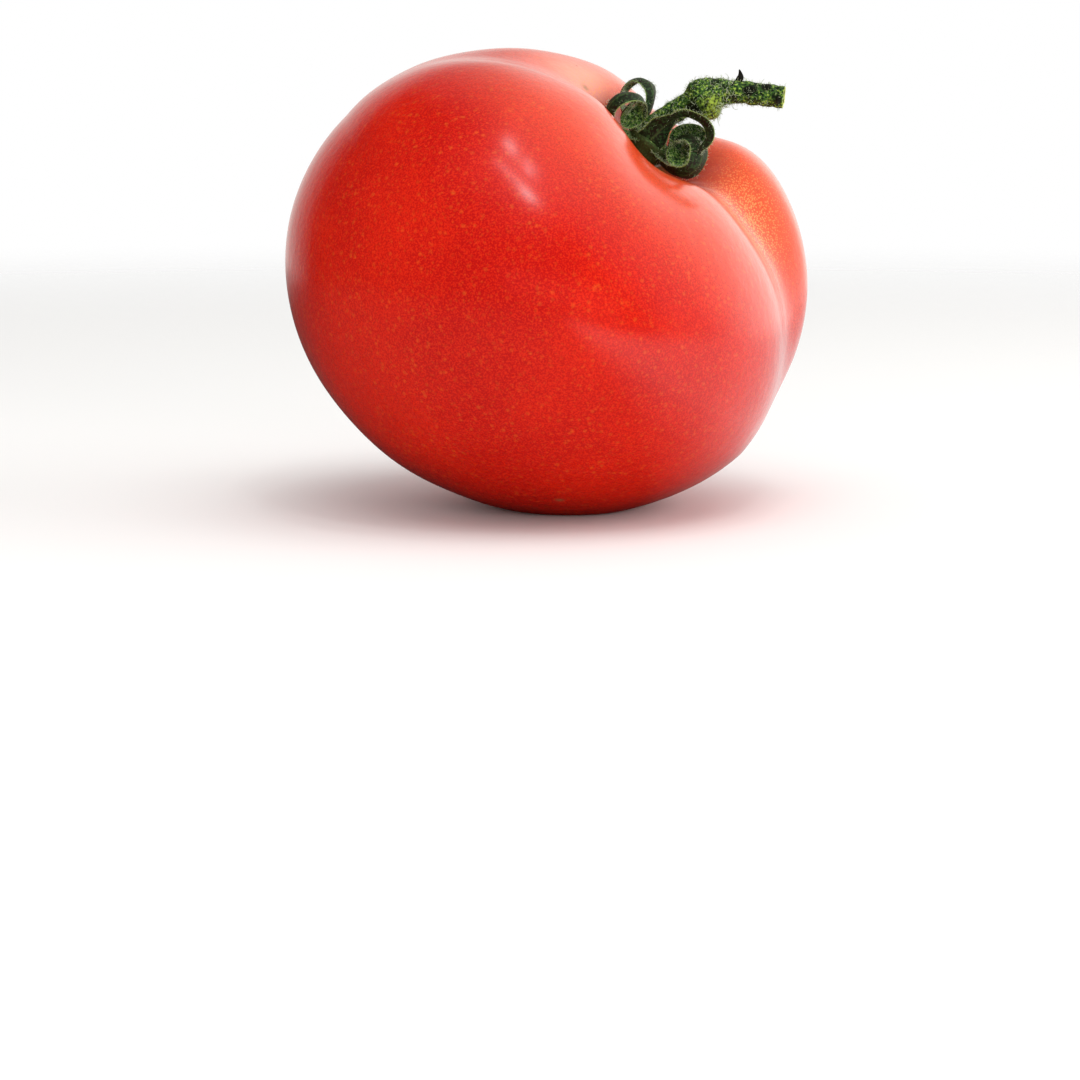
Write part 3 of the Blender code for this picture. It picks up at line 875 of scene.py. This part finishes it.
def skin_material(settings):
    """Ripe tomato skin: a thin smooth wax over red flesh that light sinks into.

    The eye sees soft broken highlights, a pale edge where the wax mirrors the room, fine golden dots under
    the wax, and a golden, stippled ground round the stem end. Its colour also holds painted shade, a deeper
    red ring round the calyx cup, and beyond the left valley a pale tan patch that is partly a painted
    reflection of the room.
    """
    material, tree, shader, place, layers = new_material(
        "waxy_tomato_skin", "golden", "cork", "shoulder", "height", "pale", "cavity_shade"
    )
    golden, cork, shoulder, height, pale, cavity_shade = layers
    # Clouds of ripeness about 20 mm across, the cells' grain of 0.3 mm, and patches of dots, 6 mm across
    ripeness, grain, patches = (
        node(tree, "TexNoise", {"Vector": place, "Scale": 1 / (size * MM), "Detail": 3.0}).outputs["Fac"]
        for size in (20, 0.3, 6)
    )
    base = painted(
        tree,
        settings.deep_red,
        (
            (ripeness, 0.35, 0.68, 1.0, settings.bright_red),
            (height, 17 * MM, 38 * MM, 1.0, settings.shoulder_red),
            (grain, 0.45, 0.65, 0.42, linear("#E83008")),
            (grain, 0.54, 0.34, 0.42, linear("#9C0200")),
        ),
    )
    # Golden dots, patchy: one to each cell of about the speckle spacing, and a fainter half as far apart
    for shrink, reach, most in ((1.0, 0.34, 0.3), (1.9, 0.4, 0.2)):
        scale = shrink / settings.speckle_spacing
        cells = node(tree, "TexVoronoi", {"Vector": place, "Scale": scale}).outputs["Distance"]
        inputs = {"Value": patches, "From Min": 0.3, "From Max": 0.65, "To Min": most / 4, "To Max": most}
        strength = node(tree, "MapRange", inputs).outputs["Result"]
        base = painted(tree, base, ((cells, reach, 0.06, strength, settings.speckle),))
    # Stipple of about 0.4 mm that closes up where the skin is most golden, and corky specks 4 mm apart
    stipple, specks = (
        node(tree, "TexVoronoi", {"Vector": place, "Scale": 1 / (spacing * MM)}).outputs["Distance"]
        for spacing in (0.4, 4)
    )
    closing = node(tree, "Math", {0: golden, 1: 0.3, 2: 0.16}, operation="MULTIPLY_ADD").outputs[0]
    nearness = node(tree, "Math", {0: closing, 1: stipple}, operation="SUBTRACT").outputs[0]
    stippled = node(tree, "Math", {0: golden, 1: 0.85}, operation="MULTIPLY", use_clamp=True).outputs[0]
    base = painted(
        tree,
        base,
        (
            (golden, 0.0, 1.0, 0.4, linear("#DE5420")),
            # Pale tan beyond the left valley, partly a painted reflection of the room
            (pale, 0.0, 1.0, 1.0, settings.pale),
            (nearness, -0.1, 0.1, stippled, settings.golden),
            # Painted shade: a deeper red ring round the calyx cup
            (cavity_shade, 0.0, 1.0, 0.75, linear("#A82808")),
            (specks, 0.07, 0.04, shoulder, linear("#5E1A12")),
            (cork, 0.0, 1.0, 1.0, settings.cork),
        ),
    )
    # The wax: a little rougher in places, and rough where it is cork
    low, high = settings.roughness - 0.04, settings.roughness + 0.05
    wax = node(tree, "MapRange", {"Value": patches, "To Min": low, "To Max": high}).outputs["Result"]
    rough = node(tree, "Mix", {0: cork, 2: wax, 3: 0.85}, data_type="FLOAT").outputs[0]
    # Dimples: broad ones, 2.4 mm across, that break the highlights, and fine ones between the cells
    broad = node(tree, "TexNoise", {"Vector": place, "Scale": 1 / (2.4 * MM)}).outputs["Fac"]
    dimples = node(tree, "Bump", {"Height": broad, "Strength": 0.6, "Distance": 0.3 * MM})
    inputs = {"Height": grain, "Strength": 0.6, "Distance": 0.02 * MM, "Normal": dimples.outputs["Normal"]}
    finish = {
        "Base Color": base,
        "Roughness": rough,
        "Normal": node(tree, "Bump", inputs).outputs["Normal"],
        "IOR": 1.45,
        "Specular IOR Level": 0.12,
        "Subsurface Weight": 0.05,
        "Subsurface Radius": (1.0, 0.22, 0.10),
        "Subsurface Scale": 2.5 * MM,
        "Coat Weight": 0.85,
        "Coat Roughness": 0.19,
    }
    feed(tree, shader, finish)
    return material


def sepal_material(settings):
    """A drying leafy sepal: matt and nearly black outside, where its dark green is deepened with painted
    shade, green and flecked inside, with pale margins.
    """
    material, tree, shader, place, layers = new_material("downy_sepal", "across", "along", "inner")
    across, along, inner = layers
    # Patches about 1.4 mm across, and cells of about 0.4 mm
    patches, cells = (
        node(tree, "TexNoise", {"Vector": place, "Scale": 1 / (size * MM), "Detail": 3.5}).outputs["Fac"]
        for size in (1.4, 0.4)
    )
    inside = painted(
        tree,
        settings.inner_green,
        (
            (patches, 0.4, 0.62, 1.0, linear("#22401A")),
            (cells, 0.53, 0.64, 0.8, settings.edge_green),
            (cells, 0.48, 0.38, 0.92, linear("#081206")),
        ),
    )
    # Outside: the dark green deepened with painted shade, with dried patches and flecks
    base = painted(
        tree,
        settings.outer_green_and_shade,
        (
            (patches, 0.42, 0.62, 1.0, settings.dry_brown),
            (cells, 0.48, 0.64, 0.7, linear("#35552A")),
            (inner, 0.42, 0.6, 1.0, inside),
            (across, 0.88, 0.99, 0.75, settings.edge_green),
            (across, 0.14, 0.0, 0.12, settings.edge_green),
            (along, 0.82, 1.0, 0.5, settings.dry_brown),
        ),
    )
    bumps = node(tree, "Bump", {"Height": patches, "Strength": 0.7, "Distance": 0.2 * MM})
    inputs = {"Height": cells, "Strength": 0.7, "Distance": 0.08 * MM, "Normal": bumps.outputs["Normal"]}
    normal = node(tree, "Bump", inputs).outputs["Normal"]
    feed(tree, shader, {"Base Color": base, "Normal": normal, "Roughness": 0.62, "Specular IOR Level": 0.25})
    return material


def stalk_material(settings):
    """A green stalk: matt, flecked with yellow-green, dark in its furrows and bruised near the cut."""
    material, tree, shader, place, layers = new_material("downy_stalk", "cut", "dry", "flank", "bruise")
    cut, dried, flank, bruise = layers
    # Patches about 2 mm across, and flecks of about 0.45 mm
    patches, flecks = (
        node(tree, "TexNoise", {"Vector": place, "Scale": 1 / (size * MM), "Detail": 3.0}).outputs["Fac"]
        for size in (2.0, 0.45)
    )
    # The flecks break the bruises' edges, and the pith shows in flecks in the middle of the cut
    ragged = node(tree, "Math", {0: flecks, 1: bruise}, operation="ADD").outputs[0]
    pithy = node(tree, "MapRange", {"Value": cut, "From Min": 0.3, "From Max": 0.5}).outputs["Result"]
    base = painted(
        tree,
        settings.green,
        (
            (flank, 0.0, 0.6, 0.75, linear("#8FA032")),
            (flecks, 0.53, 0.66, 0.85, settings.light_green),
            (flecks, 0.5, 0.38, 0.95, settings.dark_green),
            (patches, 0.5, 0.36, 0.8, settings.dark_green),
            (ragged, 0.95, 1.15, 0.96, linear("#0A0D05")),
            (cut, 0.01, 0.06, 1.0, linear("#C3CC62")),
            (cut, 0.14, 0.3, 1.0, settings.dark_green),
            (flecks, 0.45, 0.6, pithy, settings.pith),
            (dried, 0.0, 1.0, 1.0, linear("#15130C")),
        ),
    )
    bumps = node(tree, "Bump", {"Height": patches, "Strength": 0.6, "Distance": 0.3 * MM})
    inputs = {"Height": flecks, "Strength": 0.8, "Distance": 0.1 * MM, "Normal": bumps.outputs["Normal"]}
    normal = node(tree, "Bump", inputs).outputs["Normal"]
    feed(tree, shader, {"Base Color": base, "Normal": normal, "Roughness": 0.6, "Specular IOR Level": 0.3})
    return material


def hair_material(settings):
    """Fine plant hairs: clear and colourless, so that many of them look like pale down."""
    material, tree, shader, place, _ = new_material("plant_down")
    # Tufts about 2 mm across, some of them greener
    tone = node(tree, "TexNoise", {"Vector": place, "Scale": 1 / (2.0 * MM), "Detail": 2.0}).outputs["Fac"]
    inputs = {SHARE: tone, UNDER: settings.colour, OVER: linear("#8FA465")}
    base = node(tree, "Mix", inputs, data_type="RGBA").outputs[MIXED]
    feed(tree, shader, {"Base Color": base, "Roughness": 0.4, "Transmission Weight": 0.2})
    return material


def floor_material(settings):
    """Matt painted board, which fades away towards its edge so that no horizon shows.

    The skin mirrors it dark in front and on the left, as the walls are there, so that the red stays deep.
    """
    material, tree, shader, place, _ = new_material("pale_floor")
    inputs = {0: place, 1: direction_to(PALE_FLOOR_AZIMUTH, 0)}
    to_wall = node(tree, "VectorMath", inputs, operation="DOT_PRODUCT").outputs["Value"]
    inputs = {"Value": to_wall, "From Min": 15 * MM, "From Max": 60 * MM}
    pale = node(tree, "MapRange", inputs).outputs["Result"]
    inputs = {SHARE: pale, UNDER: settings.floor_dark, OVER: settings.floor}
    reflected = node(tree, "Mix", inputs, data_type="RGBA").outputs[MIXED]
    mirrored = node(tree, "LightPath").outputs["Is Glossy Ray"]
    colour = painted(tree, settings.floor, ((mirrored, 0.0, 1.0, 1.0, reflected),))
    feed(tree, shader, {"Base Color": colour, "Roughness": 0.85, "Specular IOR Level": 0.2})
    away = node(tree, "VectorMath", {0: place}, operation="LENGTH").outputs["Value"]
    inputs = {"Value": away, "From Min": FLOOR_FADE[0], "From Max": FLOOR_FADE[1]}
    fade = node(tree, "MapRange", inputs, interpolation_type="SMOOTHSTEP").outputs["Result"]
    clear = node(tree, "BsdfTransparent").outputs[0]
    mixed = node(tree, "MixShader", {0: fade, 1: shader.outputs[0], 2: clear}).outputs[0]
    feed(tree, tree.nodes["Material Output"], {"Surface": mixed})
    return material


# The stage


def direction_to(azimuth, elevation):
    """The unit direction to an azimuth and an elevation in degrees."""
    azimuth, elevation = math.radians(azimuth), math.radians(elevation)
    level = math.cos(elevation)
    return Vector((math.sin(azimuth) * level, -math.cos(azimuth) * level, math.sin(elevation)))


def panel_light(name, start, end, width, power, mirrored):
    """An area light a metre from the fruit, from one direction to another, which faces the fruit."""
    first, last = direction_to(*start), direction_to(*end)
    away = (first + last).normalized()
    along = (last - first).normalized()
    light = bpy.data.lights.new(name, "AREA")
    light.shape = "RECTANGLE"
    light.size = (last - first).length
    light.size_y = width
    light.energy = power
    lamp = bpy.data.objects.new(name, light)
    turn = Matrix((along, away.cross(along), away)).transposed().to_4x4()
    lamp.matrix_world = Matrix.Translation(Vector((0.0, 0.0, CENTRE_HEIGHT)) + away) @ turn
    lamp.visible_glossy = mirrored
    bpy.context.scene.collection.objects.link(lamp)
    return lamp


def studio_world():
    """A white room: plain white where it is seen, even soft light, and mirrored as bright walls.

    The walls are behind and on the right, and their glow fades out towards the front and the left.
    """
    world = bpy.data.worlds.new("studio")
    world.use_nodes = True
    tree = world.node_tree
    tree.nodes.clear()
    path = node(tree, "LightPath").outputs
    direction = node(tree, "TexCoord").outputs["Generated"]
    mirrored = 0.0
    for middle, edge, glow in WALLS:
        inputs = {0: direction, 1: direction_to(*middle)}
        nearness = node(tree, "VectorMath", inputs, operation="DOT_PRODUCT").outputs["Value"]
        inputs = {"Value": nearness, "From Min": edge, "From Max": 1.0, "To Max": glow}
        wall = node(tree, "MapRange", inputs).outputs["Result"]
        mirrored = node(tree, "Math", {0: wall, 1: mirrored}, operation="MAXIMUM").outputs[0]
    height = node(tree, "SeparateXYZ", {0: direction}).outputs["Z"]
    inputs = {"Value": height, "From Min": -0.4, "From Max": 0.3, "To Min": LOW_LIGHT, "To Max": HIGH_LIGHT}
    strength = node(tree, "MapRange", inputs).outputs["Result"]
    for ray, seen in (("Is Glossy Ray", mirrored), ("Is Camera Ray", 1.0)):
        strength = node(tree, "Mix", {0: path[ray], 2: strength, 3: seen}, data_type="FLOAT").outputs[0]
    colour = painted(tree, linear("#FFFFFF"), ((path["Is Glossy Ray"], 0.0, 1.0, 1.0, linear("#FFF8F2")),))
    background = node(tree, "Background", {"Color": colour, "Strength": strength})
    node(tree, "OutputWorld", {"Surface": background.outputs[0]})
    world.cycles.sampling_method = "NONE"
    bpy.context.scene.world = world
    bpy.context.scene.view_settings.view_transform = "Standard"


def photo_camera(settings):
    """A camera level with the photograph's, turned so that the fruit's middle falls on its pixel there."""
    target = Vector((0.0, 0.0, CENTRE_HEIGHT))
    sight = Vector((0.0, math.cos(settings.elevation), -math.sin(settings.elevation)))
    focal = settings.lens / SENSOR * FRAME_PIXELS
    pan = math.atan((CENTRE_PIXEL[0] - FRAME_PIXELS / 2) / focal)
    tilt = math.atan((FRAME_PIXELS / 2 - CENTRE_PIXEL[1]) / focal)
    data = bpy.data.cameras.new("camera")
    data.lens = settings.lens
    data.sensor_width = SENSOR
    camera = bpy.data.objects.new("camera", data)
    look = Matrix.Rotation(math.pi / 2 - settings.elevation - tilt, 4, "X")
    place = Matrix.Translation(target - sight * settings.distance)
    camera.matrix_world = place @ Matrix.Rotation(pan, 4, "Z") @ look
    bpy.context.scene.collection.objects.link(camera)
    bpy.context.scene.camera = camera
    return camera


# Operators


class TOMATO_OT_skin(bpy.types.Operator):
    """Makes the fruit's skin"""

    bl_idname = "tomato.skin"
    bl_label = "Make the skin"

    def execute(self, context):
        settings = context.scene.tomato_skin
        piece = made_piece("tomato_skin", [skin_body(settings)], skin_material(settings))
        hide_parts("fruit")
        return {"FINISHED"}


class TOMATO_OT_calyx(bpy.types.Operator):
    """Makes the calyx cup and its curled sepals"""

    bl_idname = "tomato.calyx"
    bl_label = "Make the calyx"

    def execute(self, context):
        settings = context.scene.tomato_calyx
        green = sepal_material(settings)
        sepals = [leaned_sleeve(*sepal_rings(index, settings.thickness)) for index in range(len(SEPALS))]
        cup = made_piece("calyx_cup", [leaned_sleeve(*cup_rings())], green)
        piece = made_piece("calyx_sepals", sepals, green)
        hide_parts("calyx")
        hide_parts("calyx")
        return {"FINISHED"}


class TOMATO_OT_stalk(bpy.types.Operator):
    """Makes the stalk with its knuckle, cut end and dried bract"""

    bl_idname = "tomato.stalk"
    bl_label = "Make the stalk"

    def execute(self, context):
        green = stalk_material(context.scene.tomato_stalk)
        piece = made_piece("stalk", [leaned_sleeve(*stalk_rings())], green)
        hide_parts("pedicel")
        spur = made_piece("stalk_spur", [leaned_sleeve(*spur_rings())], green)
        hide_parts("pedicel")
        return {"FINISHED"}


class TOMATO_OT_hairs(bpy.types.Operator):
    """Makes the fine hairs of the calyx and the stalk"""

    bl_idname = "tomato.hairs"
    bl_label = "Make the hairs"

    def execute(self, context):
        settings = context.scene.tomato_hairs
        thickness = context.scene.tomato_calyx.thickness
        draw = np.random.default_rng(settings.seed)
        down = hair_material(settings)
        bodies = []
        for index in range(len(SEPALS)):
            rings, _, layers = sepal_rings(index, thickness)
            # A few everywhere, more on the inner face, and most along the margins
            weight = 0.15 + 1.0 * (layers["inner"] > 0.5) + 1.2 * (layers["across"] > 0.9)
            bodies.append(scattered_hairs(leaned(rings), settings.sepal_count, settings, draw, weight))
        made_piece("calyx_hairs", bodies, down)
        rings = leaned(stalk_rings()[0][:STALK_ROWS])
        down_of_stalk = scattered_hairs(rings, settings.stalk_count, settings, draw, 1.0)
        along = np.linspace(0, 1, STALK_ROWS)[:, None]
        # The long ones gather past the knuckle
        curly = 0.15 + bell(along - 0.7, 0.1)
        long_ones = scattered_hairs(rings, settings.curly_count, settings, draw, curly, **CURLY_HAIR)
        made_piece("stalk_hairs", [down_of_stalk, long_ones], down)
        return {"FINISHED"}


class TOMATO_OT_stage(bpy.types.Operator):
    """Makes the floor, the light and the camera"""

    bl_idname = "tomato.stage"
    bl_label = "Make the stage"

    def execute(self, context):
        settings = context.scene.tomato_stage
        mesh = bpy.data.meshes.new("stage_floor")
        turn = np.arange(FLOOR_SIDES) * math.tau / FLOOR_SIDES
        rim = np.stack([np.cos(turn), np.sin(turn), 0 * turn], axis=1) * settings.floor_radius
        mesh.from_pydata(rim.tolist(), [], [list(range(FLOOR_SIDES))])
        mesh.materials.append(floor_material(settings))
        floor = bpy.data.objects.new("stage_floor", mesh)
        context.scene.collection.objects.link(floor)
        for name, panel in PANELS.items():
            panel_light(name, *panel)
        studio_world()
        photo_camera(settings)
        return {"FINISHED"}


class TOMATO_PT_panel(bpy.types.Panel):
    """Lists the steps and their settings"""

    bl_idname = "TOMATO_PT_panel"
    bl_label = "Tomato"
    bl_space_type = "VIEW_3D"
    bl_region_type = "UI"
    bl_category = "Tomato"

    def draw(self, context):
        for operator, group in STEPS:
            box = self.layout.box()
            box.operator(operator.bl_idname)
            settings = getattr(context.scene, group)
            for name in settings.__annotations__:
                box.prop(settings, name)


GROUPS = {
    "tomato_skin": SkinSettings,
    "tomato_calyx": CalyxSettings,
    "tomato_stalk": StalkSettings,
    "tomato_hairs": HairSettings,
    "tomato_stage": StageSettings,
}
STEPS = (
    (TOMATO_OT_skin, "tomato_skin"),
    (TOMATO_OT_calyx, "tomato_calyx"),
    (TOMATO_OT_stalk, "tomato_stalk"),
    (TOMATO_OT_hairs, "tomato_hairs"),
    (TOMATO_OT_stage, "tomato_stage"),
)
CLASSES = (*GROUPS.values(), *(operator for operator, _ in STEPS), TOMATO_PT_panel)


def register():
    for kind in CLASSES:
        bpy.utils.register_class(kind)
    for name, kind in GROUPS.items():
        setattr(bpy.types.Scene, name, PointerProperty(type=kind))


def unregister():
    for name in GROUPS:
        delattr(bpy.types.Scene, name)
    for kind in reversed(CLASSES):
        bpy.utils.unregister_class(kind)


def main():
    register()
    bpy.ops.tomato.skin()
    bpy.ops.tomato.calyx()
    bpy.ops.tomato.stalk()
    bpy.ops.tomato.hairs()
    bpy.ops.tomato.stage()


if __name__ == "__main__":
    main()
